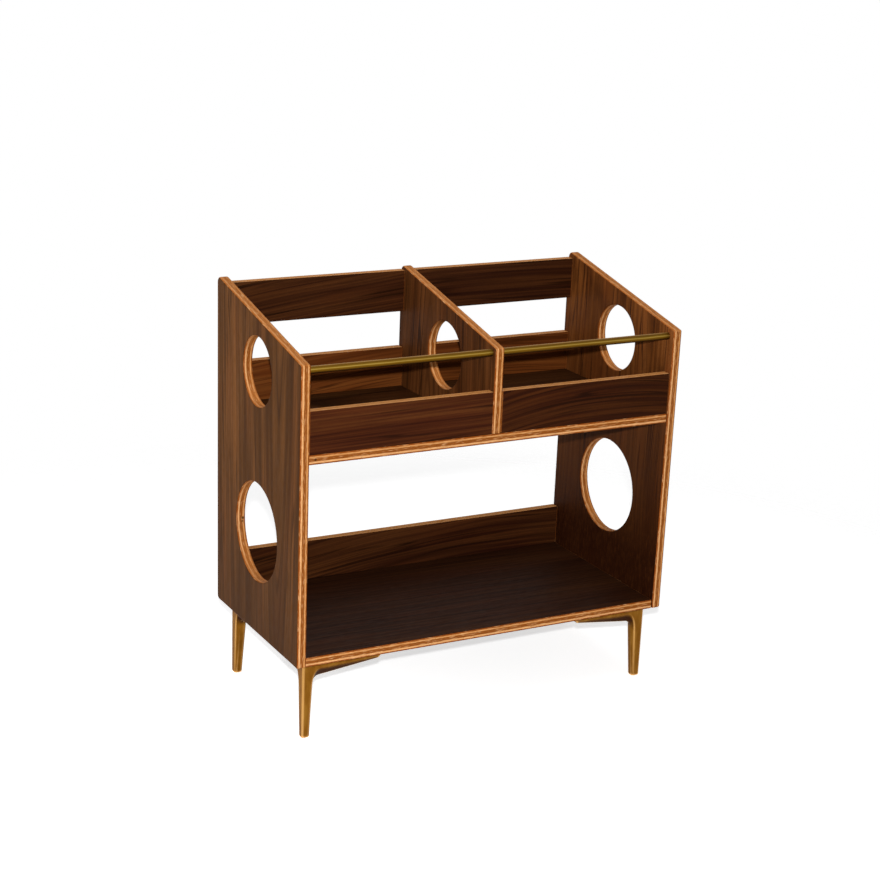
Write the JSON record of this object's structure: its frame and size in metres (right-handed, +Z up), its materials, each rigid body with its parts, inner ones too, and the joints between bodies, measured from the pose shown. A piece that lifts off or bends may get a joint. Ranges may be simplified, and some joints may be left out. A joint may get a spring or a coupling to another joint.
{
  "type": "record storage stand",
  "caption": "Low veneered stand for records: round-cut side panels, a wide lower bay, open bins on top with a brass rod across their fronts, and cast brass corner legs",
  "frame": {"origin": "on the floor under the middle of the stand", "axes": "+X to the right along the width, the open front towards -Y, +Z up"},
  "size_m": [0.743, 0.362, 0.749],
  "materials": {
    "walnut_panel": "satin walnut veneer on plywood, grain upright, bare ply edges",
    "walnut_shelf": "satin walnut veneer on plywood, grain along the width",
    "walnut_rail": "satin walnut veneer on plywood, grain along the width",
    "rod_brass": "brushed, lightly aged",
    "cast_brass": "cast and polished, satin",
    "screw_steel": "zinc plated",
    "glide_nylon": "matt",
    "dowel_beech": "bare beech"
  },
  "bodies": {
    "root": {"left_side": "walnut_panel", "right_side": "walnut_panel", "divider": "walnut_panel", "middle_shelf": "walnut_shelf", "lower_shelf": "walnut_shelf", "upper_back_rail_left": "walnut_rail", "upper_back_rail_right": "walnut_rail", "bin_back_rail_left": "walnut_rail", "bin_back_rail_right": "walnut_rail", "bin_front_left": "walnut_rail", "bin_front_right": "walnut_rail", "lower_back_rail": "walnut_rail", "record_rod": "rod_brass", "leg_front_left": "cast_brass", "leg_front_right": "cast_brass", "leg_back_left": "cast_brass", "leg_back_right": "cast_brass", "leg_screws": "screw_steel", "foot_glides": "glide_nylon", "shelf_dowels": "dowel_beech", "lower_rail_dowels": "dowel_beech", "bin_rail_dowels": "dowel_beech", "upper_rail_dowels": "dowel_beech", "bin_front_dowels": "dowel_beech", "divider_dowels": "dowel_beech"}
  },
  "joints": []
}
